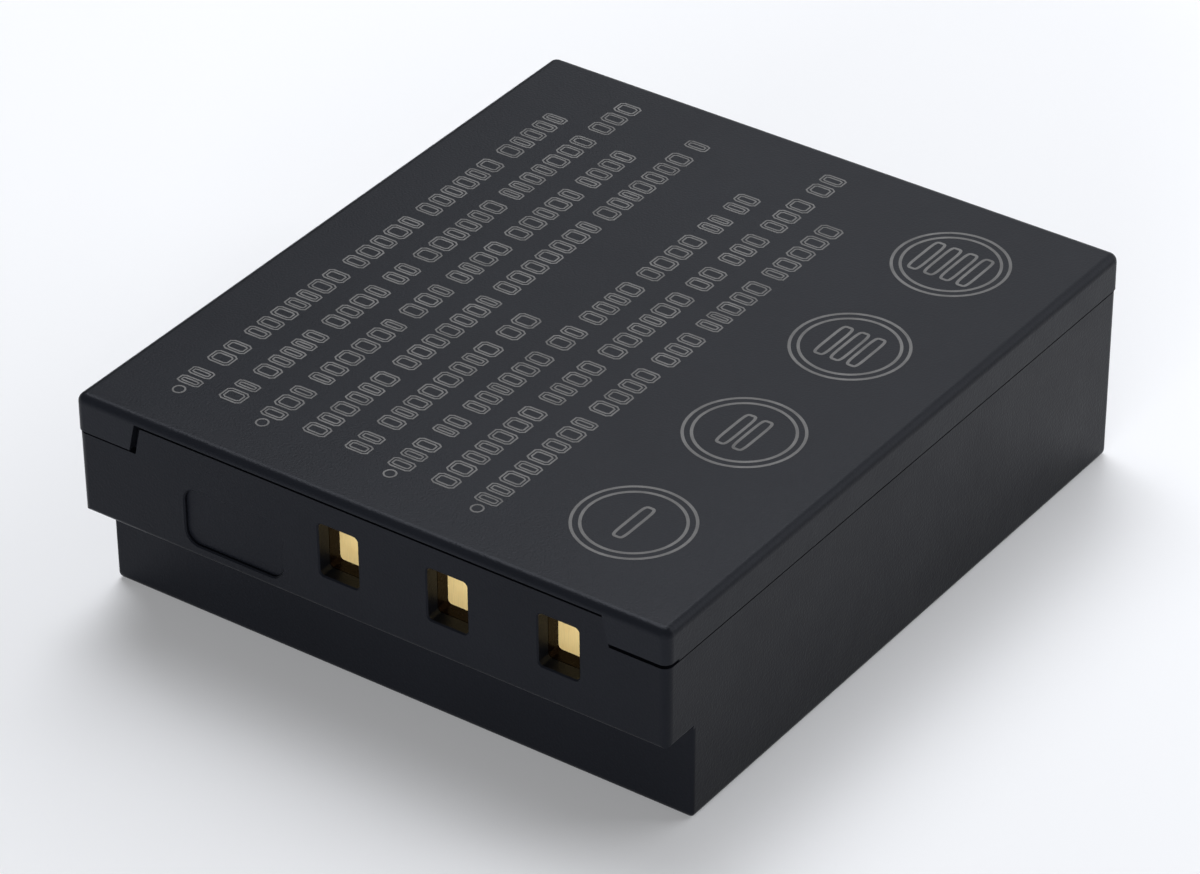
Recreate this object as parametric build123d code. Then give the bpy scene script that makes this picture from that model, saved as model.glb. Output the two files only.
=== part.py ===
from build123d import *
from math import radians, tan
import os

# Rechargeable battery for a compact camera. A drafted tray and a lid with two front tabs close around one
# prismatic cell. Behind the stepped contact face a moulded frame holds three plated contacts against a small
# protection board, and nickel strips join that board to the cell. Lengths are in millimetres.
# Frame: origin at the middle of the underside, +X across the contacts, contact face towards -Y, +Z up.

# Cell: a deep-drawn can with its cap plate flush in the mouth
cell_width = 34.0
cell_thickness = 10.5
cell_length = 34.8
cell_edge_radius = 2.0
cell_end_radius = 0.8
can_rim = 0.35
cap_thickness = 0.9
cap_clearance = 0.02

# What sits in the cap plate: riveted terminal in its gasket, fill plug and scored vent
terminal_length = 4.4
terminal_height = 3.0
terminal_head = 0.4
terminal_corner_radius = 0.5
terminal_shank_radius = 0.7
gasket_border = 0.5
gasket_flange = 0.25
gasket_sleeve = 0.35
gasket_clearance = 0.02
fill_plug_radius = 0.5
fill_plug_head_radius = 0.85
fill_plug_margin = 4.7
vent_length = 3.4
vent_height = 2.0
vent_gap = 1.2
vent_score_width = 0.25
vent_score_depth = 0.15
vent_roundness = 0.45

# Case mouldings
wall = 0.85
floor_thickness = 0.85
lid_thickness = 0.85
cell_side_clearance = 0.15
cell_end_clearance = 0.35
tape_thickness = 0.15
tape_margin = 5.0
draft_angle = 0.5
lid_overhang = 0.05
corner_radius = 0.5
cavity_corner_radius = 0.4
top_edge_radius = 0.48
bottom_edge_radius = 0.4
stop_reach = 1.0
stop_thickness = 0.8

# Seam between tray and lid: a shadow gap outside, a welded tongue inside, slanted tabs at the front corners
skirt_height = 2.1
seam_gap = 0.13
tongue_thickness = 0.35
tongue_height = 1.15
tongue_clearance = 0.05
tab_width = 3.4
tab_slope = 13.0
tab_gap_left = 0.38
tab_gap_right = 0.03
tab_lift_right = 0.12
lip_thickness = 0.46
lip_gap = 0.15

# Contact face: set-back lower front, three windows and one blanked place on the same pitch
step_depth = 2.3
step_height = 5.51
step_edge_radius = 0.25
step_side_radius = 0.2
step_end_radius = 0.3
contact_pitch = 6.6
contact_shift = 5.0
window_width = 2.4
window_height = 3.05
window_sill = 2.02
window_corner_radius = 0.25
window_edge_break = 0.08
blank_width = 6.1
blank_height = 3.3
blank_sill = 0.64
blank_depth = 0.25
blank_corner_radius = 0.8

# Contact frame, contacts and board
frame_clearance = 0.05
frame_thickness = 0.8
frame_cheek = 0.8
frame_headroom = 0.1
contact_thickness = 0.5
contact_margin = 0.35
contact_corner_radius = 0.3
board_thickness = 0.8
board_margin = 3.2
board_clearance = 0.05

# Parts on the back of the board: offsets run along X from the middle of the board
mosfet_length = 3.0
mosfet_width = 4.4
mosfet_height = 1.0
mosfet_span = 6.4
mosfet_lead_pitch = 0.65
mosfet_leads = 4
mosfet_offset = 4.2
ic_length = 2.9
ic_width = 1.6
ic_height = 1.1
ic_span = 2.8
ic_lead_pitch = 0.95
ic_leads = 3
ic_offset = -2.4
lead_width = 0.3
lead_thickness = 0.12
chip_length = 1.6
chip_width = 0.8
chip_cap = 0.3
chip_cap_proud = 0.02
resistor_height = 0.45
capacitor_height = 0.8
resistor_offset = -5.6
resistor_pitch = 1.4
resistor_count = 3
capacitor_offset = -7.8
capacitor_pitch = 1.8
capacitor_count = 2
thermistor_offset = 8.5

# Strips, fuse and insulation between board and cell
wiring_clearance = 0.2
strip_thickness = 0.15
strip_width = 2.4
strip_bend_radius = 0.1
pad_length = 2.6
pad_margin = 0.5
insulator_thickness = 0.15
insulator_margin = 1.6
insulator_edge = 0.8
insulator_clearance = 0.3
fuse_length = 5.0
fuse_height = 3.6
fuse_corner_radius = 0.4
fuse_gap = 0.6
fuse_foot = 2.0
fuse_overhang = 0.3

# Envelope worked out from the cell
cavity_half_width = cell_width / 2 + cell_side_clearance
pack_width = 2 * (cavity_half_width + wall)
pack_height = floor_thickness + 2 * tape_thickness + cell_thickness + lid_thickness
tallest_part = max(mosfet_height, ic_height, capacitor_height, resistor_height)
terminal_rise = gasket_flange + terminal_head
board_room = tallest_part + wiring_clearance + strip_thickness + terminal_rise
front_stack = lid_overhang + wall + frame_clearance + frame_thickness + contact_thickness + board_thickness
pack_length = front_stack + board_room + cell_length + cell_end_clearance + wall

# Planes along Y, from the contact face back
front = -pack_length / 2
rear = pack_length / 2
front_inner = front + lid_overhang + wall
frame_front = front_inner + frame_clearance
contact_front = frame_front + frame_thickness
board_front = contact_front + contact_thickness
board_back = board_front + board_thickness
cap_face = board_back + board_room
terminal_face = cap_face - terminal_rise
cell_rear = cap_face + cell_length
rear_inner = rear - wall
step_face = front + step_depth
step_inner = step_face + wall

# Levels along Z
lid_under = pack_height - lid_thickness
skirt_foot = pack_height - skirt_height
rim = skirt_foot - seam_gap
tongue_top = rim + tongue_height
lip_under = pack_height - lip_thickness
front_wall_top = lip_under - lip_gap
ledge = step_height + wall
board_top = lid_under - frame_headroom
board_middle = (ledge + board_top) / 2
cell_foot = floor_thickness + tape_thickness
cell_middle = cell_foot + cell_thickness / 2
cell_top = cell_foot + cell_thickness
window_middle = step_height + window_sill + window_height / 2
blank_middle = step_height + blank_sill + blank_height / 2

# Places along X
places = [contact_shift + steps * contact_pitch for steps in (-2, -1, 0, 1)]
blank_place = places[0]
contact_places = dict(zip(("negative_contact", "thermistor_contact", "positive_contact"), places[1:]))
board_centre = (places[0] + places[-1]) / 2
board_half = (places[-1] - places[0]) / 2 + board_margin
tab_end = pack_width / 2 - tab_width
window_to_tab = tab_end - tab_gap_right - places[-1] - window_width / 2
mouth_land = min(window_to_tab, blank_sill - step_edge_radius)
gasket_half_length = terminal_length / 2 + gasket_border
fuse_inner = -(gasket_half_length + fuse_gap)
fuse_outer = fuse_inner - fuse_length
fill_plug_place = fill_plug_margin - cell_width / 2
vent_place = gasket_half_length + vent_gap + vent_length / 2
positive_riser = board_centre + board_half - pad_margin - pad_length

# How far cutters reach past what they cut, and how near an edge has to lie to be picked
cut_over = 1.0
pick = 0.01


def block(x_range, y_range, z_range):
    """Box between two corners, given as its ranges along the three axes."""
    size = [high - low for low, high in (x_range, y_range, z_range)]
    middle = [(high + low) / 2 for low, high in (x_range, y_range, z_range)]
    return Pos(*middle) * Box(*size)


def face_plane(x, y, z):
    """Plane that looks back along +Y, with its own X along the pack's X and its own Y downwards."""
    return Plane(origin=(x, y, z), x_dir=(1, 0, 0), z_dir=(0, 1, 0))


def plate(x, z, width, height, y_range, radius):
    """Upright plate with rounded corners, parallel to the contact face."""
    outline = face_plane(x, y_range[0], z) * RectangleRounded(width, height, radius)
    return extrude(outline, y_range[1] - y_range[0], dir=(0, 1, 0))


def front_trapezoid(left, right, foot, top, y_range):
    """Upright prism over the front wall, its two ends leaning in by the slope of the tabs."""
    lean = (top - foot) * tan(radians(tab_slope))
    outline = Polyline((left, foot), (right, foot), (right - lean, top), (left + lean, top), close=True)
    face = Plane(origin=(0, y_range[0], 0), x_dir=(1, 0, 0), z_dir=(0, -1, 0)) * make_face(outline)
    return extrude(face, y_range[1] - y_range[0], dir=(0, 1, 0))


def windows(y_range):
    """The three contact windows as cutters."""
    return [
        plate(x, window_middle, window_width, window_height, y_range, window_corner_radius)
        for x in contact_places.values()
    ]


def drafted_inset(level):
    """How far the tray's outside stands behind the lid's at a level."""
    return lid_overhang + tan(radians(draft_angle)) * (rim - level)


def step_cutter():
    """Prism across the front that sets the lower front back and rounds the lower edge above it."""
    round_top = step_height + step_edge_radius
    face_y = front + drafted_inset(round_top)
    round_end = face_y + step_edge_radius
    ahead = front - cut_over
    outline = Polyline(
        (round_end, step_height), (step_face, step_height), (step_face, -cut_over), (ahead, -cut_over),
        (ahead, round_top), (face_y, round_top),
    )
    outline += CenterArc((round_end, round_top), step_edge_radius, 180, 90)
    return extrude(Plane.YZ * make_face(outline), pack_width / 2 + cut_over, both=True)


def step_end_cutters():
    """Prisms along Y that round the ends of the contact face's lower edge."""
    y_range = (front - cut_over, step_face)
    outer = pack_width / 2 - drafted_inset(step_height)
    round_x = outer - step_end_radius
    round_z = step_height + step_end_radius
    for side in (-1, 1):
        x_range = sorted((side * round_x, side * (outer + cut_over)))
        corner = block(x_range, y_range, (step_height - cut_over, round_z))
        yield corner - rod(side * round_x, step_end_radius, y_range, round_z)


def drafted_body():
    """Outside of the tray: drafted towards the floor and cut back under the contact face."""
    spare = 2 * drafted_inset(front_wall_top)
    mouth = RectangleRounded(pack_width - spare, pack_length - spare, corner_radius)
    body = Pos(0, 0, front_wall_top) * Rot(180, 0, 0) * extrude(mouth, front_wall_top, taper=draft_angle)
    body -= step_cutter()
    underside = body.edges().filter_by_position(Axis.Z, -pick, pick)
    body = fillet(underside, bottom_edge_radius)
    step_edges = body.edges().filter_by_position(Axis.Y, step_face - pick, step_face + pick)
    uprights = [edge for edge in step_edges if edge.bounding_box().size.Z > pick]
    body = fillet(uprights, step_side_radius)
    for cutter in step_end_cutters():
        body -= cutter
    return body


def make_case_tray():
    half = pack_width / 2 + cut_over
    over = front_wall_top + cut_over
    body = drafted_body()
    raised = body & front_trapezoid(
        tab_gap_left - tab_end, tab_end - tab_gap_right, rim, front_wall_top, (front - cut_over, front_inner)
    )
    tray = body - block((-half, half), (front - cut_over, rear + cut_over), (rim, over))
    tray += raised
    tray += seam_ring(tongue_thickness, rim, tongue_top)
    bay_length = rear_inner - step_inner
    bay = RectangleRounded(2 * cavity_half_width, bay_length, cavity_corner_radius)
    tray -= Pos(0, step_inner + bay_length / 2, floor_thickness) * extrude(bay, over)
    board_bay = (front_inner, step_inner + cavity_corner_radius)
    tray -= block((-cavity_half_width, cavity_half_width), board_bay, (ledge, over))
    for side in (-1, 1):
        wall_x = side * cavity_half_width
        reach = sorted((wall_x, wall_x - side * stop_reach))
        tray += block(reach, (cap_face - stop_thickness, cap_face), (floor_thickness, rim))
    for window in windows((front - cut_over, front_inner + cut_over)):
        tray -= window
    blank_range = (front - cut_over, front + lid_overhang + blank_depth)
    tray -= plate(blank_place, blank_middle, blank_width, blank_height, blank_range, blank_corner_radius)
    contact_face = tray.faces().sort_by(Axis.Y)[0]
    mouths = [edge for wire in contact_face.inner_wires() for edge in wire.edges()]
    return chamfer(mouths, min(window_edge_break, mouth_land / 2))


def seam_ring(reach, foot, top):
    """Block over the cavity that reaches past it into the wall all round, for the tongue and its rebate."""
    half = cavity_half_width + reach
    return block((-half, half), (front_inner - reach, rear_inner + reach), (foot, top))


def make_lid():
    outline = RectangleRounded(pack_width, pack_length, corner_radius)
    lid = Pos(0, 0, skirt_foot) * extrude(outline, skirt_height)
    lid = fillet(lid.edges().group_by(Axis.Z)[-1], top_edge_radius)
    under = skirt_foot - cut_over
    lid -= seam_ring(0, under, lid_under)
    lid -= seam_ring(tongue_thickness + tongue_clearance, under, tongue_top)
    end = tab_end + tan(radians(tab_slope)) * (rim - under)
    front_range = (front - cut_over, front_inner + tongue_clearance)
    lid -= front_trapezoid(-end, end, under, lip_under, front_range)
    right = (0, pack_width / 2 + cut_over)
    return lid - block(right, front_range, (under, skirt_foot + tab_lift_right))


def make_contact_frame():
    half = board_half + board_clearance + frame_cheek
    low = board_centre - half
    high = board_centre + half
    frame = block((low, high), (frame_front, board_back), (ledge, board_top))
    pocket = board_half + board_clearance
    frame -= block(
        (board_centre - pocket, board_centre + pocket), (contact_front, board_back + cut_over),
        (ledge - cut_over, board_top + cut_over),
    )
    for window in windows((frame_front - cut_over, contact_front + cut_over)):
        frame -= window
    return frame


def make_contact(x):
    width = window_width + 2 * contact_margin
    height = window_height + 2 * contact_margin
    return plate(x, window_middle, width, height, (contact_front, board_front), contact_corner_radius)


def make_protection_board():
    height = board_top - ledge
    return plate(
        board_centre, board_middle, 2 * board_half, height, (board_front, board_back), contact_corner_radius
    )


def chip_package(body, span, leads, pitch):
    """Moulded package lying on its own XY plane, with a row of gull-wing leads along each long side."""
    length, width, height = body
    half_height = (height + lead_thickness) / 2
    moulding = Pos(0, 0, half_height) * Box(length, width, height - lead_thickness)
    package = chamfer(moulding.edges().group_by(Axis.Z)[-1], lead_thickness)
    for place in GridLocations(pitch, 0, leads, 1):
        for side in (-1, 1):
            foot_y = sorted((side * width / 2, side * span / 2))
            inner_y = sorted((side * (width / 2 - lead_thickness), side * (width / 2 + lead_thickness)))
            x_range = (place.position.X - lead_width / 2, place.position.X + lead_width / 2)
            package += block(x_range, foot_y, (0, lead_thickness))
            package += block(x_range, inner_y, (0, half_height))
    return package


def chip_passive(height):
    """Two-terminal chip lying on its own XY plane: a body between two slightly proud end caps."""
    slim = 2 * chip_cap_proud
    body = Pos(0, 0, height / 2) * Box(chip_length - chip_cap, chip_width - slim, height - slim)
    for side in (-1, 1):
        body += Pos(side * (chip_length - chip_cap) / 2, 0, height / 2) * Box(chip_cap, chip_width, height)
    return body


def on_board(shape, offset, rise=0.0, turn=0.0):
    """Place a part on the back of the board, by its offset along X and its rise above the middle."""
    seat = face_plane(board_centre + offset, board_back, board_middle + rise)
    return seat.location * Rot(0, 0, turn) * shape


def make_dual_mosfet():
    body = (mosfet_length, mosfet_width, mosfet_height)
    package = chip_package(body, mosfet_span, mosfet_leads, mosfet_lead_pitch)
    return on_board(package, mosfet_offset, turn=90)


def make_protection_ic():
    body = (ic_length, ic_width, ic_height)
    return on_board(chip_package(body, ic_span, ic_leads, ic_lead_pitch), ic_offset)


def chip_column(height, offset, pitch, count):
    """Column of like chips, one above the other, as separate solids."""
    rises = [(index - (count - 1) / 2) * pitch for index in range(count)]
    return Compound(children=[on_board(chip_passive(height), offset, rise) for rise in rises])


def bent_strip(x, turn, cell_foot_length, board_foot_length, cell_plane):
    """Z-shaped strip from the board's back to a plane on the cell; turn is where its cell foot points."""
    depth = cell_plane - board_back
    thick = strip_thickness
    route = [
        (-board_foot_length, 0), (thick, 0), (thick, depth - thick), (cell_foot_length, depth - thick),
        (cell_foot_length, depth), (0, depth), (0, thick), (-board_foot_length, thick),
    ]
    low = board_middle - strip_width / 2
    points = [(x + turn * along, board_back + across, low) for along, across in route]
    strip = extrude(make_face(Polyline(*points, close=True)), strip_width, dir=(0, 0, 1))
    riser = sorted((x, x + turn * thick))
    uprights = strip.edges().filter_by(Axis.Z)
    bends = uprights.filter_by_position(Axis.X, riser[0] - pick, riser[1] + pick)
    return fillet(bends, strip_bend_radius)


def make_positive_tab():
    return bent_strip(positive_riser, -1, pad_length, pad_length, cap_face)


def make_fuse_tab():
    riser = fuse_outer - fuse_overhang
    foot = riser - (board_centre - board_half + pad_margin)
    return bent_strip(riser, 1, fuse_foot + fuse_overhang, foot, terminal_face)


def make_negative_tab():
    half = strip_width / 2
    y_range = (terminal_face - strip_thickness, terminal_face)
    upright = block((-half, half), y_range, (cell_middle - half, board_middle + half))
    arm = block((fuse_inner - fuse_foot, half), y_range, (board_middle - half, board_middle + half))
    return upright + arm


def make_ptc_fuse():
    middle = (fuse_inner + fuse_outer) / 2
    y_range = (terminal_face, cap_face - insulator_thickness)
    return plate(middle, board_middle, fuse_length, fuse_height, y_range, fuse_corner_radius)


def make_cap_insulator():
    y_range = (cap_face - insulator_thickness, cap_face)
    cut_range = (y_range[0] - cut_over, y_range[1] + cut_over)
    spare = 2 * insulator_clearance
    width = cell_width - 2 * insulator_margin
    height = cell_thickness - 2 * insulator_edge
    sheet = plate(0, cell_middle, width, height, y_range, terminal_corner_radius)
    gasket_length = 2 * gasket_half_length
    gasket_height = terminal_height + 2 * gasket_border
    sheet -= plate(
        0, cell_middle, gasket_length + spare, gasket_height + spare, cut_range, terminal_corner_radius
    )
    sheet -= plate(
        vent_place, cell_middle, vent_length + spare, vent_height + spare, cut_range, terminal_corner_radius
    )
    sheet -= plate(
        positive_riser - pad_length / 2, board_middle, pad_length + 2 * spare, strip_width + spare, cut_range,
        terminal_corner_radius,
    )
    plug = 2 * (fill_plug_head_radius + insulator_clearance)
    sheet -= plate(fill_plug_place, cell_middle, plug, plug, cut_range, terminal_corner_radius)
    return sheet


def can_section(inset, y_range):
    """Prism with the can's rounded section, drawn in from it by an inset."""
    width = cell_width - 2 * inset
    height = cell_thickness - 2 * inset
    return plate(0, cell_middle, width, height, y_range, cell_edge_radius - inset)


def make_cell_can():
    can = can_section(0, (cap_face, cell_rear))
    can = fillet(can.edges().group_by(Axis.Y)[-1], cell_end_radius)
    return can - can_section(can_rim, (cap_face - cut_over, cap_face + cap_thickness))


def rod(x, radius, y_range, level=cell_middle):
    """Round rod along Y at a level, which is that of the cell's middle if none is given."""
    length = y_range[1] - y_range[0]
    return extrude(face_plane(x, y_range[0], level) * Circle(radius), length, dir=(0, 1, 0))


def make_cell_cap():
    back = cap_face + cap_thickness
    cap = can_section(can_rim + cap_clearance, (cap_face, back))
    through = (cap_face - cut_over, back + cut_over)
    sleeve_radius = terminal_shank_radius + gasket_clearance + gasket_sleeve
    cap -= rod(0, sleeve_radius + gasket_clearance, through)
    cap -= rod(fill_plug_place, fill_plug_radius + gasket_clearance, through)
    score_range = (cap_face - cut_over, cap_face + vent_score_depth)
    vent_radius = vent_roundness * vent_height
    inner_length = vent_length - 2 * vent_score_width
    inner_height = vent_height - 2 * vent_score_width
    score = plate(vent_place, cell_middle, vent_length, vent_height, score_range, vent_radius)
    score -= plate(
        vent_place, cell_middle, inner_length, inner_height, score_range, vent_radius - vent_score_width
    )
    return cap - score


def make_terminal_gasket():
    length = 2 * gasket_half_length
    height = terminal_height + 2 * gasket_border
    corner = terminal_corner_radius + gasket_border
    seat = cap_face - gasket_flange
    back = cap_face + cap_thickness
    bore = terminal_shank_radius + gasket_clearance
    gasket = plate(0, cell_middle, length, height, (seat, cap_face), corner)
    gasket += rod(0, bore + gasket_sleeve, (seat, back))
    return gasket - rod(0, bore, (seat - cut_over, back + cut_over))


def make_negative_terminal():
    seat = cap_face - gasket_flange
    head = plate(
        0, cell_middle, terminal_length, terminal_height, (terminal_face, seat), terminal_corner_radius
    )
    return head + rod(0, terminal_shank_radius, (terminal_face, cap_face + cap_thickness))


def make_fill_plug():
    plug = rod(fill_plug_place, fill_plug_radius, (cap_face - insulator_thickness, cap_face + cap_thickness))
    return plug + rod(fill_plug_place, fill_plug_head_radius, (cap_face - insulator_thickness, cap_face))


def make_tape(foot):
    half_width = cell_width / 2 - tape_margin
    y_range = (cap_face + tape_margin, cell_rear - tape_margin)
    return block((-half_width, half_width), y_range, (foot, foot + tape_thickness))


parts = {
    "case_tray": make_case_tray(),
    "lid": make_lid(),
    "contact_frame": make_contact_frame(),
    "protection_board": make_protection_board(),
    "dual_mosfet": make_dual_mosfet(),
    "protection_ic": make_protection_ic(),
    "chip_resistors": chip_column(resistor_height, resistor_offset, resistor_pitch, resistor_count),
    "chip_capacitors": chip_column(capacitor_height, capacitor_offset, capacitor_pitch, capacitor_count),
    "thermistor": on_board(chip_passive(resistor_height), thermistor_offset, turn=90),
    "positive_tab": make_positive_tab(),
    "negative_tab": make_negative_tab(),
    "fuse_tab": make_fuse_tab(),
    "ptc_fuse": make_ptc_fuse(),
    "cap_insulator": make_cap_insulator(),
    "cell_can": make_cell_can(),
    "cell_cap": make_cell_cap(),
    "terminal_gasket": make_terminal_gasket(),
    "negative_terminal": make_negative_terminal(),
    "fill_plug": make_fill_plug(),
    "tray_tape": make_tape(floor_thickness),
    "lid_tape": make_tape(cell_top),
}
for name, place in contact_places.items():
    parts[name] = make_contact(place)

os.makedirs("parts", exist_ok=True)
for name, shape in parts.items():
    export_step(shape, f"parts/{name}.step")
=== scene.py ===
"""Looks of a flat camera battery: its finishes, the etched marks on its lid, and a pale studio."""
from math import pi

import bpy
import numpy as np
from bpy.props import FloatProperty, FloatVectorProperty, IntProperty, PointerProperty
from bpy.types import Operator, Panel, PropertyGroup
from mathutils import Matrix, Vector


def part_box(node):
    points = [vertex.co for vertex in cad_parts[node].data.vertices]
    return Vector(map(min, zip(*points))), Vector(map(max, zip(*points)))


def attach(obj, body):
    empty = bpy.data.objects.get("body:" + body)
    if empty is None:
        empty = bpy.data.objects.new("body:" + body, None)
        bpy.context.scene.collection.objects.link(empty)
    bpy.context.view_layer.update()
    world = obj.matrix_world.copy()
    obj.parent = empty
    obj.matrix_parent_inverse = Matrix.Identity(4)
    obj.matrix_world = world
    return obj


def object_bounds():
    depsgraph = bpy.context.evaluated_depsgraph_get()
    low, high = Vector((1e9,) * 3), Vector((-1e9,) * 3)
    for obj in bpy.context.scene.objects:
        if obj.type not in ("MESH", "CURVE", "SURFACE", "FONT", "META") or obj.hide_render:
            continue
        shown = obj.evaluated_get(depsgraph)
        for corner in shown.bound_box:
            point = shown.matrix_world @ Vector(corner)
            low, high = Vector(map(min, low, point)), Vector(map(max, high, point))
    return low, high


bl_info = {
    "name": "Camera Battery Looks",
    "version": (1, 0, 0),
    "blender": (4, 5, 0),
    "location": "View3D > Sidebar > Battery",
    "description": "Finishes, etched marks and studio for a flat camera battery",
    "category": "Object",
}

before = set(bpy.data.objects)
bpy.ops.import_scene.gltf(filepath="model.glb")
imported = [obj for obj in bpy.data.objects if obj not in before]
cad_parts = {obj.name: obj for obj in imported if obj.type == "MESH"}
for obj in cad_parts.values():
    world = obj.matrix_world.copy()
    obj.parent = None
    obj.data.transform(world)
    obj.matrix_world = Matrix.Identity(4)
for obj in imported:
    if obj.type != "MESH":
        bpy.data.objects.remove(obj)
CAD_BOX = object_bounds()
LID_LOW, LID_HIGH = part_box("lid")

MM = 0.001


# Properties

def length(name, description, millimetres):
    """A length property, given in millimetres and kept in metres."""
    return FloatProperty(
        name=name, description=description, default=millimetres * MM, unit="LENGTH", precision=5
    )


def share(name, description, default):
    """A property between nought and one."""
    return FloatProperty(
        name=name, description=description, default=default, min=0.0, max=1.0, subtype="FACTOR"
    )


def colour(name, description, default):
    """A linear colour property."""
    return FloatVectorProperty(
        name=name, description=description, default=default, min=0.0, max=1.0, subtype="COLOR"
    )


def angle(name, description, degrees):
    """An angle property, given in degrees."""
    return FloatProperty(name=name, description=description, default=degrees * pi / 180, subtype="ANGLE")


class ShellSettings(PropertyGroup):
    """Black moulded plastic of the tray, the lid and the contact frame."""

    # The tray and the lid are one plastic: the tray's colour is darker as painted shade on the front and
    # lower front, and the lid's is lighter as painted light on the top
    tray_colour_painted_shade: colour("Tray", "Plastic of the tray", (0.0056, 0.0062, 0.0083))
    lid_colour_painted_light: colour("Lid", "Plastic of the lid", (0.0079, 0.0087, 0.0111))
    # Near-black plastic whose reddish-brown hue is a painted reflection of the gold contacts in the window
    # walls
    frame_colour_painted_gold_reflection: colour("Frame", "Plastic of the frame behind the windows", (0.0040, 0.0018, 0.0012))
    roughness: share("Roughness", "Mean roughness of the moulded skin", 0.36)
    gloss: share("Gloss", "Specular level of the moulded skin", 0.105)
    tint: colour("Sheen tint", "Colour of the skin's sheen", (0.88, 0.91, 1.0))
    frame_roughness: share("Frame roughness", "Mean roughness of the polished frame", 0.28)
    frame_gloss: share("Frame gloss", "Specular level of the polished frame", 0.06)
    # The warm sheen tint is a painted reflection of the gold contacts
    frame_sheen_painted_gold_reflection: colour("Frame sheen tint", "Colour of the frame's sheen", (1.0, 0.60, 0.40))
    grain_size: length("Grain size", "Width of one grain of the spark-eroded skin", 0.13)
    grain_depth: length("Grain depth", "Height of the grain", 0.011)


class ContactSettings(PropertyGroup):
    """Gold plating of the three contacts."""

    gold_colour: colour("Gold", "Colour of the plating", (0.98, 0.73, 0.31))
    metal: share("Metal", "How far the satin plating mirrors instead of scattering", 0.30)
    roughness: share("Roughness", "Mean roughness of the plating", 0.45)
    wipe_width: length("Wipe width", "Width of the marks that sprung pins leave", 0.06)


class EtchSettings(PropertyGroup):
    """Generic laser-etched marks on the lid."""

    mark_colour: colour("Mark", "Colour of the etched strokes", (0.154, 0.151, 0.146))
    stroke: length("Stroke", "Width of the etched stroke of a ring or bar", 0.165)
    line: length("Line", "Width of a bullet's line and of the two lines that trace a cell", 0.097)
    line_pitch: length("Line pitch", "Distance between the two lines that trace a cell", 0.175)
    proud: length("Proud", "How far the foamed stroke stands above the lid", 0.008)
    sunk: length("Sunk", "How far the stroke reaches into the lid", 0.006)
    first_row: length("First row", "Left edge of the lid to the foot of the first row", 4.8)
    row_pitch: length("Row pitch", "Distance from row to row", 2.634)
    cell_height: length("Cell height", "Height of the cells in a row", 1.45)
    cell_narrow: length("Narrow cell", "Width of the narrowest cell", 0.66)
    cell_wide: length("Wide cell", "Width of the widest cell", 1.12)
    cell_gap: length("Cell gap", "Space between cells", 0.20)
    group_gap: length("Group gap", "Space between groups of cells", 0.75)
    row_start: length("Row start", "Front of the lid to the first cell", 3.85)
    bullet_start: length("Bullet start", "Front of the lid to the middle of a bullet", 3.3)
    bullet_radius: length("Bullet radius", "Radius of a bullet at its stroke's middle", 0.32)
    ring_inset: length("Ring inset", "Right edge of the lid to the middle of the rings", 6.58)
    ring_start: length("Ring start", "Front of the lid to the middle of the first ring", 6.64)
    ring_pitch: length("Ring pitch", "Distance from ring to ring", 9.5)
    ring_radius: length("Ring radius", "Radius of the outer ring at its stroke's middle", 3.07)
    ring_step: length("Ring step", "Outer ring to inner ring", 0.46)
    bar_length: length("Bar length", "Length of one level bar", 2.9)
    bar_width: length("Bar width", "Width of one level bar", 0.62)
    bar_pitch: length("Bar pitch", "Distance from bar to bar", 0.98)
    seed: IntProperty(name="Seed", description="Seed of the cells' widths and groups", default=11)


class StageSettings(PropertyGroup):
    """Camera, floor and soft light."""

    azimuth: angle("Azimuth", "Camera's turn from straight ahead of the contacts towards +X", 35.456)
    elevation: angle("Elevation", "Camera's height above the horizon", 33.735)
    roll: angle("Roll", "Camera's turn about its own axis", -0.399)
    distance: length("Distance", "Camera to the point it looks at", 291.48)
    target: FloatVectorProperty(
        name="Target", description="Point that the camera looks at",
        default=(-0.113 * MM, -0.506 * MM, 5.681 * MM), subtype="TRANSLATION", precision=5,
    )
    lens: FloatProperty(name="Lens", description="Focal length in millimetres", default=170.22)
    floor_colour: colour("Floor", "Pale floor", (0.90, 0.90, 0.90))
    floor_glow: share("Floor glow", "Share of even white that the camera sees in the floor", 0.15)
    sky_level: FloatProperty(name="Sky level", description="Even light from all round", default=0.12)


SETTINGS = {
    "battery_shell": ShellSettings,
    "battery_contacts": ContactSettings,
    "battery_etch": EtchSettings,
    "battery_stage": StageSettings,
}


# Finishes

# The Mix node repeats the names of its sockets for each kind of data; these are the places of the colours
FIRST_COLOUR = 6
SECOND_COLOUR = 7
MIXED_COLOUR = 2

# Most of a noise lies between these values
NOISE_LOW = 0.3
NOISE_HIGH = 0.7


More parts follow.
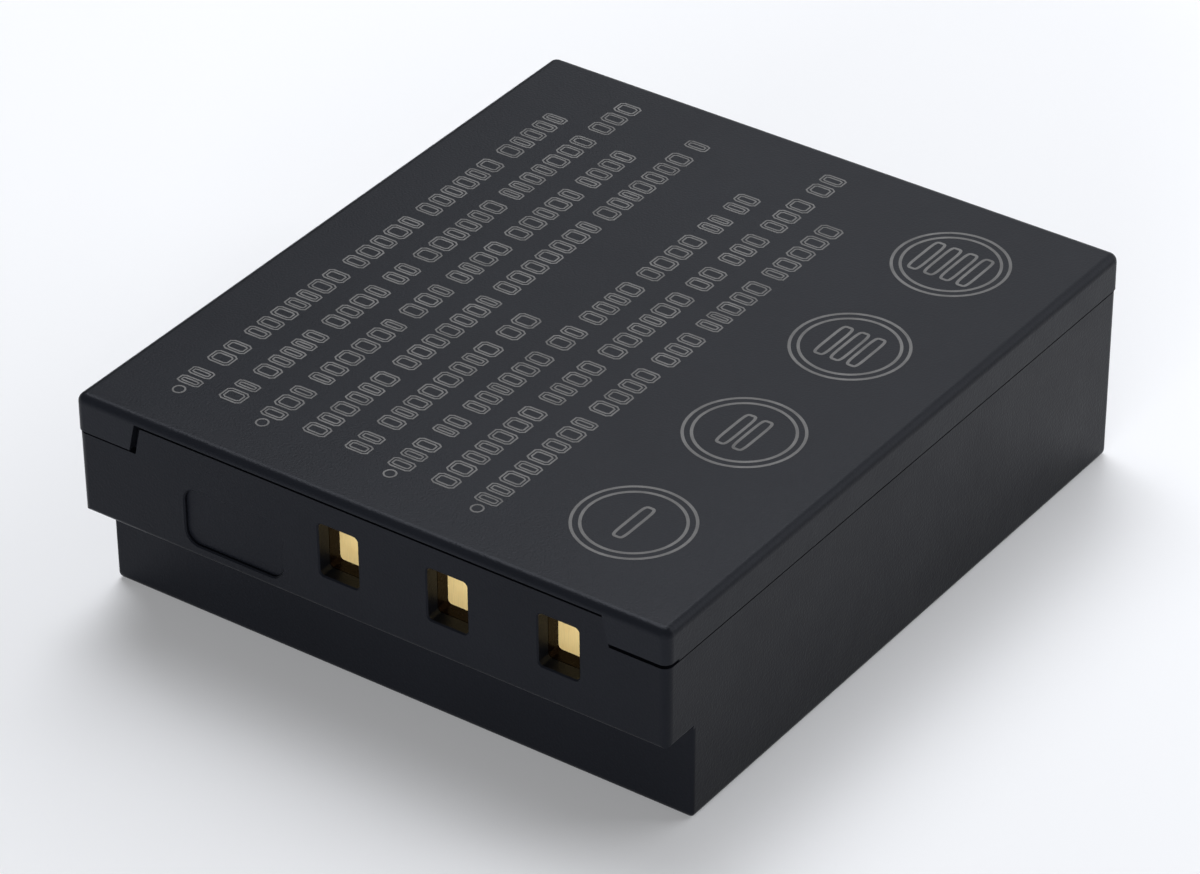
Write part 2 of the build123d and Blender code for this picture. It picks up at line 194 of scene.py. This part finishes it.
class Finish:
    """A material on Object coordinates: one Principled shader fed by a few procedural nodes."""

    def __init__(self, name, roughness=0.5, metallic=0.0, gloss=0.5):
        self.material = bpy.data.materials.new(name)
        self.material.use_nodes = True
        self.tree = self.material.node_tree
        self.tree.nodes.clear()
        self.shader = self.add("ShaderNodeBsdfPrincipled")
        self.shader.inputs["Roughness"].default_value = roughness
        self.shader.inputs["Metallic"].default_value = metallic
        self.shader.inputs["Specular IOR Level"].default_value = gloss
        self.place = self.add("ShaderNodeTexCoord").outputs["Object"]
        output = self.add("ShaderNodeOutputMaterial")
        self.tree.links.new(self.shader.outputs["BSDF"], output.inputs["Surface"])

    def add(self, kind, **attributes):
        """A new node with its attributes set."""
        node = self.tree.nodes.new(kind)
        for name, value in attributes.items():
            setattr(node, name, value)
        return node

    def feed(self, node, **sockets):
        """Links an output or sets a plain value on each named input; an underscore stands for a space."""
        for name, value in sockets.items():
            socket = node.inputs[name.replace("_", " ")]
            if isinstance(value, bpy.types.NodeSocket):
                self.tree.links.new(value, socket)
            else:
                socket.default_value = value

    def noise(self, size, detail=2.0, stretch=(1, 1, 1), fineness=0.5):
        """Noise from 0 to 1 whose blobs are about size across, drawn out along the axes by stretch.

        Each finer layer up to the detail is weaker than the last by the fineness.
        """
        mapping = self.add("ShaderNodeMapping")
        self.feed(mapping, Vector=self.place, Scale=tuple(1.0 / (size * along) for along in stretch))
        texture = self.add("ShaderNodeTexNoise")
        self.feed(texture, Vector=mapping.outputs["Vector"], Scale=1.0, Detail=detail, Roughness=fineness)
        return texture.outputs["Fac"]

    def span(self, value, low=0.0, high=1.0, start=NOISE_LOW, end=NOISE_HIGH):
        """Carries a value between start and end over to the range from low to high."""
        node = self.add("ShaderNodeMapRange")
        self.feed(node, Value=value, From_Min=start, From_Max=end, To_Min=low, To_Max=high)
        return node.outputs["Result"]

    def around(self, noise, middle, spread):
        """Carries a noise over to the range that reaches a spread to either side of the middle."""
        return self.span(noise, middle - spread, middle + spread)

    def tint(self, factor, first, second):
        """Colour between two colours or colour outputs by a factor."""
        node = self.add("ShaderNodeMix", data_type="RGBA")
        self.tree.links.new(factor, node.inputs[0])
        for place, value in ((FIRST_COLOUR, first), (SECOND_COLOUR, second)):
            socket = node.inputs[place]
            if isinstance(value, bpy.types.NodeSocket):
                self.tree.links.new(value, socket)
            else:
                socket.default_value = (*value, 1.0)
        return node.outputs[MIXED_COLOUR]

    def ends(self, axis, middle, half):
        """One beyond half a length from the middle along an axis, nought between."""
        parts = self.add("ShaderNodeSeparateXYZ")
        self.feed(parts, Vector=self.place)
        apart = self.add("ShaderNodeMath", operation="SUBTRACT")
        self.tree.links.new(parts.outputs[axis], apart.inputs[0])
        apart.inputs[1].default_value = middle
        away = self.add("ShaderNodeMath", operation="ABSOLUTE")
        self.tree.links.new(apart.outputs[0], away.inputs[0])
        beyond = self.add("ShaderNodeMath", operation="GREATER_THAN")
        self.tree.links.new(away.outputs[0], beyond.inputs[0])
        beyond.inputs[1].default_value = half
        return beyond.outputs[0]

    def surface(self, **sockets):
        """Feeds the shader."""
        self.feed(self.shader, **sockets)

    def bump(self, height, depth):
        """Normal from a height between 0 and 1 that stands for a depth in metres."""
        node = self.add("ShaderNodeBump")
        self.feed(node, Height=height, Distance=depth)
        self.surface(Normal=node.outputs["Normal"])

    def dress(self, *names):
        """Gives the finish to CAD nodes by name."""
        for name in names:
            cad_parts[name].material_slots[0].material = self.material


def shades(base, spread):
    """A darker and a lighter shade of a colour, spread apart by a share of it."""
    base = np.array(base[:3])
    return tuple(base * (1 - spread)), tuple(base * (1 + spread))


# Moulded plastic: its cloudy tone and its handled patches
CLOUD_SIZE = 9 * MM
CLOUD_SHADE = 0.08
HANDLED_SIZE = 3 * MM
HANDLED_FINENESS = 0.8
HANDLED_SPREAD = 0.045


def moulded_plastic(name, base, settings, roughness, gloss, sheen):
    """Dark moulded plastic: spark-eroded grain, broad cloudy tone and handled, slightly shinier patches."""
    finish = Finish(name, gloss=gloss)
    finish.surface(Specular_Tint=(*sheen, 1.0))
    cloud = finish.span(finish.noise(CLOUD_SIZE, detail=3.0))
    handled = finish.noise(HANDLED_SIZE, detail=5.0, fineness=HANDLED_FINENESS)
    grain = finish.noise(settings.grain_size, detail=1.0)
    finish.surface(
        Base_Color=finish.tint(cloud, *shades(base, CLOUD_SHADE)),
        Roughness=finish.around(handled, roughness, HANDLED_SPREAD),
    )
    finish.bump(grain, settings.grain_depth)
    return finish


# Gold plating: the upright wipe marks of sprung pins, and the tarnish over part of its noise's range
WIPE_STRETCH = (1, 1, 14)
WIPE_SHADE = 0.05
WIPE_SPREAD = 0.08
WIPE_DEPTH = 0.002 * MM
TARNISH_SIZE = 0.9 * MM
TARNISH_START = 0.5
TARNISH_END = 0.8
TARNISH_SHARE = 0.5
TARNISH_TONE = (0.93, 0.86, 0.74)


def gold_plate(name, settings):
    """Satin gold with upright wipe marks and a faint warm tarnish."""
    finish = Finish(name, metallic=settings.metal)
    wipe = finish.noise(settings.wipe_width, detail=2.0, stretch=WIPE_STRETCH)
    tarnish = finish.noise(TARNISH_SIZE, detail=3.0)
    warm = tuple(np.array(settings.gold_colour) * TARNISH_TONE)
    plating = finish.tint(finish.span(wipe), *shades(settings.gold_colour, WIPE_SHADE))
    share_tarnished = finish.span(tarnish, 0.0, TARNISH_SHARE, TARNISH_START, TARNISH_END)
    finish.surface(
        Base_Color=finish.tint(share_tarnished, plating, warm),
        Roughness=finish.around(wipe, settings.roughness, WIPE_SPREAD),
    )
    finish.bump(wipe, WIPE_DEPTH)
    return finish


# Rolled metal: its rolling lines and its stains
ROLLING_SIZE = 0.05 * MM
ROLLING_SPREAD = 0.08
ROLLING_DEPTH = 0.001 * MM
STAIN_SIZE = 4 * MM
STAIN_SHADE = 0.06


def rolled_metal(name, base, roughness, stretch):
    """Metal with fine rolling lines drawn out along its axes by the stretch."""
    finish = Finish(name, metallic=1.0)
    lines = finish.noise(ROLLING_SIZE, detail=3.0, stretch=stretch)
    stain = finish.noise(STAIN_SIZE, detail=3.0)
    finish.surface(
        Base_Color=finish.tint(finish.span(stain), *shades(base, STAIN_SHADE)),
        Roughness=finish.around(lines, roughness, ROLLING_SPREAD),
    )
    finish.bump(lines, ROLLING_DEPTH)
    return finish


# Paper, tape and soft plastic: the fibres and the blots of their tone
FIBRE_STRETCH = (6, 1, 1)
BLOT_SIZE = 1.5 * MM
BLOT_SHADE = 0.08


def fibrous(name, base, fibre, depth):
    """Paper, tape or soft plastic: short fibres that stand up by the depth, and a mottled tone."""
    finish = Finish(name, roughness=0.85, gloss=0.2)
    along = finish.noise(fibre, detail=3.0, stretch=FIBRE_STRETCH)
    blot = finish.noise(BLOT_SIZE, detail=4.0)
    finish.surface(Base_Color=finish.tint(finish.span(blot), *shades(base, BLOT_SHADE)))
    finish.bump(along, depth)
    return finish


# Small electronic parts: their tinned ends and the specks of their bodies
TINNED_COLOUR = (0.66, 0.66, 0.64)
TINNED_ROUGHNESS = 0.32
SPECK_SIZE = 0.12 * MM
SPECK_SHADE = 0.12
SPECK_DEPTH = 0.003 * MM


def tipped(node, name, base, axis, tip, roughness):
    """Small electronic part: a moulded or fired body with tinned ends along one axis of the node."""
    low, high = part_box(node)
    index = "XYZ".index(axis)
    middle = (low[index] + high[index]) / 2
    half = (high[index] - low[index]) / 2 - tip
    finish = Finish(name)
    ends = finish.ends(axis, middle, half)
    speck = finish.span(finish.noise(SPECK_SIZE, detail=3.0))
    body = finish.tint(speck, *shades(base, SPECK_SHADE))
    finish.surface(
        Base_Color=finish.tint(ends, body, TINNED_COLOUR),
        Metallic=ends,
        Roughness=finish.span(ends, roughness, TINNED_ROUGHNESS, 0.0, 1.0),
    )
    finish.bump(speck, SPECK_DEPTH)
    return finish


# Circuit board: the weave of its glass cloth and the cloudy tone of its solder mask
WEAVE_SIZE = 0.35 * MM
WARP_STRETCH = (1, 1, 5)
WEFT_STRETCH = (5, 1, 1)
WEAVE_DEPTH = 0.006 * MM
MASK_SIZE = 2.2 * MM
MASK_DARK = (0.010, 0.075, 0.028)
MASK_LIGHT = (0.022, 0.135, 0.055)


def board_laminate(name):
    """Green solder mask over glass cloth: a woven relief, cloudy tone and slightly glossy skin."""
    finish = Finish(name, roughness=0.34)
    warp = finish.noise(WEAVE_SIZE, detail=1.0, stretch=WARP_STRETCH)
    weft = finish.noise(WEAVE_SIZE, detail=1.0, stretch=WEFT_STRETCH)
    tone = finish.span(finish.noise(MASK_SIZE, detail=4.0))
    weave = finish.add("ShaderNodeMath", operation="MAXIMUM")
    finish.tree.links.new(warp, weave.inputs[0])
    finish.tree.links.new(weft, weave.inputs[1])
    finish.surface(Base_Color=finish.tint(tone, MASK_DARK, MASK_LIGHT))
    finish.bump(weave.outputs[0], WEAVE_DEPTH)
    return finish


# Laser mark: the patches along its strokes and the crumbs of the foamed plastic
PATCH_SIZE = 1.2 * MM
PATCH_SHADE = 0.22
CRUMB_SIZE = 0.09 * MM
CRUMB_SHARE = 0.35
CRUMB_DEPTH = 0.006 * MM


def etched_mark(name, base):
    """Foamed laser mark: pale, dry and patchy along its strokes."""
    finish = Finish(name, roughness=0.75, gloss=0.2)
    patch = finish.noise(PATCH_SIZE, detail=4.0)
    crumb = finish.noise(CRUMB_SIZE, detail=2.0)
    dark, light = shades(base, PATCH_SHADE)
    grey = finish.tint(finish.span(patch), dark, light)
    finish.surface(Base_Color=finish.tint(finish.span(crumb, 0.0, CRUMB_SHARE), grey, dark))
    finish.bump(crumb, CRUMB_DEPTH)
    return finish


# Etched strokes

def points(x, y):
    """Points in the plane from x and y, either of which may be one number for all of them."""
    return np.stack(np.broadcast_arrays(x, y), axis=-1)


def stroked_loops(middles, halves, power, stroke, levels, count):
    """Closed ribbons carried along superellipses, one for each row of the middles and halves.

    The path of a loop is |x / a| ** n + |y / b| ** n = 1 about its middle. Here a and b are its halves and n
    is the power: 2 gives a ring, a larger power a rounded cell. At the angle t the path's point is
    (a * cos t ** (2 / n), b * sin t ** (2 / n)) with the signs kept, and its outward direction is that of
    (cos t ** (2 - 2 / n) / a, sin t ** (2 - 2 / n) / b). The profile is the stroke's rectangle: half a
    stroke to either side of the path, from the lower level to the upper. A path has count points.
    """
    turn = (np.arange(count) + 0.5) * 2 * pi / count
    wave = points(np.cos(turn), np.sin(turn))
    halves = halves[:, None]
    path = middles[:, None] + halves * np.sign(wave) * np.abs(wave) ** (2 / power)
    outward = np.sign(wave) * np.abs(wave) ** (2 - 2 / power) / halves
    outward /= np.linalg.norm(outward, axis=-1, keepdims=True)
    foot, top = levels
    sides = np.array([-0.5, 0.5, 0.5, -0.5])[:, None] * stroke
    flat = path[:, :, None] + outward[:, :, None] * sides
    height = np.broadcast_to([foot, foot, top, top], flat.shape[:-1])
    vertices = np.concatenate([flat, height[..., None]], axis=-1)
    index = np.arange(height.size).reshape(height.shape)
    onward = np.roll(index, -1, axis=1)
    faces = np.stack([index, onward, np.roll(onward, -1, axis=2), np.roll(index, -1, axis=2)], axis=-1)
    return vertices.reshape(-1, 3), faces.reshape(-1, 4)


def joined(*meshes):
    """Several arrays of vertices and faces as one pair."""
    starts = np.cumsum([0] + [len(vertices) for vertices, _ in meshes[:-1]])
    vertices = np.concatenate([vertices for vertices, _ in meshes])
    faces = np.concatenate([faces + start for (_, faces), start in zip(meshes, starts)])
    return vertices, faces


def new_object(name, vertices, faces, material):
    """Mesh object at the origin, with its place in its vertices."""
    mesh = bpy.data.meshes.new(name)
    mesh.from_pydata(vertices.tolist(), [], faces.tolist())
    mesh.materials.append(material)
    mesh.update()
    made = bpy.data.objects.new(name, mesh)
    bpy.context.scene.collection.objects.link(made)
    return made


def etched_piece(name, meshes, material):
    """A piece of the lid's etching, which rides with the battery."""
    piece = new_object(name, *joined(*meshes), material)
    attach(piece, "root")


# How far each row of cells runs back, and the rows that open with a bullet
ROW_RUNS = np.array([32.0, 35.2, 30.9, 34.0, 15.0, 31.0, 35.2, 30.9]) * MM
BULLET_ROWS = [0, 2, 5, 7]

# Fewest and most cells in a group, and how many groups are drawn for a row before it is cut to its run
FEWEST_CELLS = 2
MOST_CELLS = 8
GROUPS_DRAWN = 12

# Rings on the lid, the powers of the superellipses, and the points around each kind of loop
RING_COUNT = 4
RING_POWER = 2.0
CELL_POWER = 5.0
CELL_POINTS = 8
BULLET_POINTS = 16
BAR_POINTS = 24
RING_POINTS = 96


def etch_levels(settings):
    """Heights of a stroke's foot in the lid and of its top above the lid."""
    return LID_HIGH.z - settings.sunk, LID_HIGH.z + settings.proud


def row_cells(run, settings, draw):
    """Middles and widths of the cells along one row.

    Random widths are laid end to end with a gap, and a wider gap closes each group of cells. The row is cut
    to the run, and then stretched so that its last cell ends where the run does.
    """
    groups = draw.integers(FEWEST_CELLS, MOST_CELLS + 1, size=GROUPS_DRAWN)
    widths = draw.uniform(settings.cell_narrow, settings.cell_wide, size=groups.sum())
    gaps = np.full(widths.size, settings.cell_gap)
    gaps[np.cumsum(groups) - 1] = settings.group_gap
    ends = np.cumsum(widths + gaps) - gaps
    kept = ends <= run
    stretch = run / ends[kept][-1]
    return (ends - widths / 2)[kept] * stretch, widths[kept] * stretch


def etch_rows(settings):
    """Eight rows of cells traced by two lines, run back from the contact face; four open with a bullet."""
    draw = np.random.default_rng(settings.seed)
    levels = etch_levels(settings)
    line = settings.line
    row_x = LID_LOW.x + settings.first_row + np.arange(len(ROW_RUNS)) * settings.row_pitch
    row_x -= settings.cell_height / 2
    meshes = []
    for x, run in zip(row_x, ROW_RUNS):
        along, widths = row_cells(run, settings, draw)
        middles = points(x, LID_LOW.y + settings.row_start + along)
        outer = points(settings.cell_height, widths) / 2 - line / 2
        for halves in (outer, outer - settings.line_pitch):
            meshes.append(stroked_loops(middles, halves, CELL_POWER, line, levels, CELL_POINTS))
    middles = points(row_x[BULLET_ROWS], LID_LOW.y + settings.bullet_start)
    halves = np.full_like(middles, settings.bullet_radius)
    meshes.append(stroked_loops(middles, halves, RING_POWER, line, levels, BULLET_POINTS))
    return meshes


def etch_rings(settings):
    """Double rings, with one more hollow level bar in each from front to back."""
    levels = etch_levels(settings)
    stroke = settings.stroke
    x = LID_HIGH.x - settings.ring_inset
    centres = points(x, LID_LOW.y + settings.ring_start + np.arange(RING_COUNT) * settings.ring_pitch)
    radii = np.repeat([settings.ring_radius, settings.ring_radius - settings.ring_step], RING_COUNT)
    middles = np.concatenate([centres, centres])
    meshes = [stroked_loops(middles, points(radii, radii), RING_POWER, stroke, levels, RING_POINTS)]
    for bars, centre in enumerate(centres, start=1):
        middles = centre + points((np.arange(bars) - (bars - 1) / 2) * settings.bar_pitch, 0.0)
        halves = np.tile([settings.bar_width / 2, settings.bar_length / 2], (bars, 1))
        meshes.append(stroked_loops(middles, halves, CELL_POWER, stroke, levels, BAR_POINTS))
    return meshes


# Stage

# Each softbox by the direction it stands in, its distance in metres, its width and height, and the
# brightness it gives a white face that looks straight at it
SOFTBOXES = {
    "key_softbox": {"toward": (-0.32, 0.32, 0.89), "distance": 0.50, "size": (0.30, 0.30), "level": 0.72},
    "back_softbox": {"toward": (-0.22, 0.82, 0.52), "distance": 0.50, "size": (0.40, 0.40), "level": 0.22},
    "rim_softbox": {"toward": (0.555, 0.68, 0.48), "distance": 0.25, "size": (0.20, 0.20), "level": 0.44},
    "front_softbox": {"toward": (0.25, -0.96, 0.16), "distance": 1.00, "size": (0.60, 0.30), "level": 0.93},
}
UNMIRRORED = ("front_softbox",)
LAMP_COLOUR = (0.93, 0.95, 1.0)
WHITE = (1.0, 1.0, 1.0, 1.0)
FLOOR_HALF = 3.0
# Share of the camera's distance within which it sees nothing
BLIND_SHARE = 0.1


def add_softboxes():
    """Oblong area lights turned to the battery; a level takes a power of level * (pi * distance) ** 2.

    An unmirrored one only fills in, as a lamp behind a polarising sheet does, and leaves no glare.
    """
    for name, box in SOFTBOXES.items():
        toward = Vector(box["toward"]).normalized()
        lamp = bpy.data.lights.new(name, "AREA")
        lamp.color = LAMP_COLOUR
        lamp.shape = "RECTANGLE"
        lamp.size, lamp.size_y = box["size"]
        lamp.energy = box["level"] * (pi * box["distance"]) ** 2
        holder = bpy.data.objects.new(name, lamp)
        holder.location = toward * box["distance"]
        holder.rotation_mode = "QUATERNION"
        holder.rotation_quaternion = (-toward).to_track_quat("-Z", "Y")
        holder.visible_glossy = name not in UNMIRRORED
        bpy.context.scene.collection.objects.link(holder)


def seen_directly(tree):
    """One for camera, glossy and transmission rays, nought for the rays that only carry light."""
    path = tree.nodes.new("ShaderNodeLightPath")
    total = path.outputs["Is Camera Ray"]
    for name in ("Is Glossy Ray", "Is Transmission Ray"):
        larger = tree.nodes.new("ShaderNodeMath")
        larger.operation = "MAXIMUM"
        tree.links.new(total, larger.inputs[0])
        tree.links.new(path.outputs[name], larger.inputs[1])
        total = larger.outputs[0]
    return total


def floor_finish(settings):
    """Pale matt floor; rays that show it get a share of even white too, so only the shadow is grey."""
    material = bpy.data.materials.new("studio_floor")
    material.use_nodes = True
    tree = material.node_tree
    tree.nodes.clear()
    matt = tree.nodes.new("ShaderNodeBsdfDiffuse")
    matt.inputs["Color"].default_value = (*settings.floor_colour, 1.0)
    glow = tree.nodes.new("ShaderNodeEmission")
    weight = tree.nodes.new("ShaderNodeMath")
    weight.operation = "MULTIPLY"
    weight.inputs[1].default_value = settings.floor_glow
    mix = tree.nodes.new("ShaderNodeMixShader")
    output = tree.nodes.new("ShaderNodeOutputMaterial")
    tree.links.new(seen_directly(tree), weight.inputs[0])
    tree.links.new(weight.outputs[0], mix.inputs[0])
    tree.links.new(matt.outputs[0], mix.inputs[1])
    tree.links.new(glow.outputs[0], mix.inputs[2])
    tree.links.new(mix.outputs[0], output.inputs["Surface"])
    return material


def add_floor(settings):
    """Flat grid of two by two points at the battery's foot."""
    side = np.array([-FLOOR_HALF, FLOOR_HALF])
    x, y = np.meshgrid(side, side)
    vertices = np.stack([x, y, np.full_like(x, CAD_BOX[0][2])], axis=-1).reshape(-1, 3)
    floor = new_object("studio_floor", vertices, np.array([[0, 1, 3, 2]]), floor_finish(settings))


def light_sky(settings):
    """Dim, even world: a studio whose walls stay dark."""
    world = bpy.data.worlds.new("studio_sky")
    world.use_nodes = True
    sky = world.node_tree.nodes["Background"]
    sky.inputs["Color"].default_value = WHITE
    sky.inputs["Strength"].default_value = settings.sky_level
    bpy.context.scene.world = world


def add_camera(settings):
    """Camera on a sphere about its target, turned about its own axis by the roll."""
    turn = Matrix.Rotation(settings.azimuth, 3, "Z") @ Matrix.Rotation(-settings.elevation, 3, "X")
    away = turn @ Vector((0.0, -1.0, 0.0))
    right = turn @ Vector((1.0, 0.0, 0.0))
    up = away.cross(right)
    leaning = Matrix((right, up, away)).transposed() @ Matrix.Rotation(settings.roll, 3, "Z")
    camera = bpy.data.objects.new("camera", bpy.data.cameras.new("camera"))
    camera.data.lens = settings.lens
    camera.data.clip_start = settings.distance * BLIND_SHARE
    camera.matrix_world = Matrix.LocRotScale(
        Vector(settings.target) + away * settings.distance, leaning.to_quaternion(), None
    )
    bpy.context.scene.collection.objects.link(camera)
    bpy.context.scene.camera = camera


# Operators

# Small parts on the board: finish, colour of the body, axis that the tinned ends lie along, length of an
# end, and roughness of the body
BOARD_PARTS = {
    "dual_mosfet": ("mosfet_moulding", (0.018, 0.018, 0.019), "X", 1.0 * MM, 0.6),
    "protection_ic": ("ic_moulding", (0.018, 0.018, 0.019), "Z", 0.6 * MM, 0.6),
    "chip_resistors": ("resistor_glaze", (0.045, 0.045, 0.050), "X", 0.3 * MM, 0.25),
    "chip_capacitors": ("capacitor_ceramic", (0.42, 0.31, 0.20), "X", 0.3 * MM, 0.55),
    "thermistor": ("thermistor_glaze", (0.030, 0.060, 0.050), "Z", 0.3 * MM, 0.3),
}


class BATTERY_OT_finish_shell(Operator):
    """Finish the tray, the lid and the contact frame in black moulded plastic"""

    bl_idname = "battery.finish_shell"
    bl_label = "Finish Shell"

    def execute(self, context):
        settings = context.scene.battery_shell
        skin = (settings, settings.roughness, settings.gloss, settings.tint)
        # The frame's finish carries a painted reflection of the gold in its brown hue and warm sheen tint
        polish = (settings, settings.frame_roughness, settings.frame_gloss, settings.frame_sheen_painted_gold_reflection)
        # One plastic in two colours: painted shade on the tray, painted light on the lid
        moulded_plastic("tray_plastic", settings.tray_colour_painted_shade, *skin).dress("case_tray")
        moulded_plastic("lid_plastic", settings.lid_colour_painted_light, *skin).dress("lid")
        moulded_plastic("frame_plastic", settings.frame_colour_painted_gold_reflection, *polish).dress("contact_frame")
        return {"FINISHED"}


class BATTERY_OT_finish_contacts(Operator):
    """Plate the three contacts with satin gold"""

    bl_idname = "battery.finish_contacts"
    bl_label = "Finish Contacts"

    def execute(self, context):
        gold = gold_plate("contact_gold", context.scene.battery_contacts)
        gold.dress("positive_contact", "thermistor_contact", "negative_contact")
        return {"FINISHED"}


class BATTERY_OT_finish_board(Operator):
    """Finish the protection board and the parts soldered to it"""

    bl_idname = "battery.finish_board"
    bl_label = "Finish Board"

    def execute(self, context):
        board_laminate("board_laminate").dress("protection_board")
        for node, part in BOARD_PARTS.items():
            tipped(node, *part).dress(node)
        return {"FINISHED"}


class BATTERY_OT_finish_wiring(Operator):
    """Finish the nickel strips, the fuse and the insulator between board and cell"""

    bl_idname = "battery.finish_wiring"
    bl_label = "Finish Wiring"

    def execute(self, context):
        strip = rolled_metal("nickel_strip", (0.62, 0.60, 0.56), roughness=0.34, stretch=(20, 20, 1))
        strip.dress("positive_tab", "negative_tab", "fuse_tab")
        polymer = fibrous("fuse_polymer", (0.10, 0.10, 0.11), fibre=0.2 * MM, depth=0.004 * MM)
        polymer.dress("ptc_fuse")
        paper = fibrous("fibre_paper", (0.42, 0.45, 0.38), fibre=0.08 * MM, depth=0.01 * MM)
        paper.dress("cap_insulator")
        return {"FINISHED"}


class BATTERY_OT_finish_cell(Operator):
    """Finish the sealed cell, its terminal, and the tapes that hold it"""

    bl_idname = "battery.finish_cell"
    bl_label = "Finish Cell"

    def execute(self, context):
        drawn = rolled_metal("drawn_aluminium", (0.78, 0.79, 0.80), roughness=0.36, stretch=(1, 30, 1))
        drawn.dress("cell_can")
        blanked = rolled_metal("blanked_aluminium", (0.77, 0.78, 0.79), roughness=0.42, stretch=(20, 1, 1))
        blanked.dress("cell_cap", "fill_plug")
        nickel = rolled_metal("terminal_nickel", (0.64, 0.62, 0.58), roughness=0.30, stretch=(12, 1, 1))
        nickel.dress("negative_terminal")
        gasket = fibrous("gasket_plastic", (0.72, 0.71, 0.67), fibre=0.3 * MM, depth=0.003 * MM)
        gasket.dress("terminal_gasket")
        tape = fibrous("adhesive_tape", (0.80, 0.79, 0.74), fibre=0.12 * MM, depth=0.008 * MM)
        tape.dress("tray_tape", "lid_tape")
        return {"FINISHED"}


class BATTERY_OT_etch_rows(Operator):
    """Etch eight rows of generic cells into the lid"""

    bl_idname = "battery.etch_rows"
    bl_label = "Etch Rows"

    def execute(self, context):
        settings = context.scene.battery_etch
        mark = etched_mark("row_mark", settings.mark_colour)
        etched_piece("etched_rows", etch_rows(settings), mark.material)
        return {"FINISHED"}


class BATTERY_OT_etch_rings(Operator):
    """Etch four rings with level bars into the lid"""

    bl_idname = "battery.etch_rings"
    bl_label = "Etch Rings"

    def execute(self, context):
        settings = context.scene.battery_etch
        mark = etched_mark("ring_mark", settings.mark_colour)
        etched_piece("etched_rings", etch_rings(settings), mark.material)
        return {"FINISHED"}


class BATTERY_OT_set_stage(Operator):
    """Set up the floor, the sky, the softboxes and the camera"""

    bl_idname = "battery.set_stage"
    bl_label = "Set Stage"

    def execute(self, context):
        settings = context.scene.battery_stage
        context.scene.view_settings.view_transform = "Standard"
        add_floor(settings)
        light_sky(settings)
        add_softboxes()
        add_camera(settings)
        return {"FINISHED"}


OPERATORS = (
    BATTERY_OT_finish_shell,
    BATTERY_OT_finish_contacts,
    BATTERY_OT_finish_board,
    BATTERY_OT_finish_wiring,
    BATTERY_OT_finish_cell,
    BATTERY_OT_etch_rows,
    BATTERY_OT_etch_rings,
    BATTERY_OT_set_stage,
)


class BATTERY_PT_looks(Panel):
    """Lists the battery's operators and their settings"""

    bl_idname = "BATTERY_PT_looks"
    bl_label = "Camera Battery"
    bl_space_type = "VIEW_3D"
    bl_region_type = "UI"
    bl_category = "Battery"

    def draw(self, context):
        for operator in OPERATORS:
            self.layout.operator(operator.bl_idname)
        for group, kind in SETTINGS.items():
            box = self.layout.box()
            box.label(text=kind.__doc__)
            for name in kind.__annotations__:
                box.prop(getattr(context.scene, group), name)


CLASSES = (*SETTINGS.values(), *OPERATORS, BATTERY_PT_looks)


def register():
    for made in CLASSES:
        bpy.utils.register_class(made)
    for group, kind in SETTINGS.items():
        setattr(bpy.types.Scene, group, PointerProperty(type=kind))


def unregister():
    for group in SETTINGS:
        delattr(bpy.types.Scene, group)
    for made in reversed(CLASSES):
        bpy.utils.unregister_class(made)


def main():
    register()
    for operator in OPERATORS:
        group, name = operator.bl_idname.split(".")
        getattr(getattr(bpy.ops, group), name)()


if __name__ == "__main__":
    main()
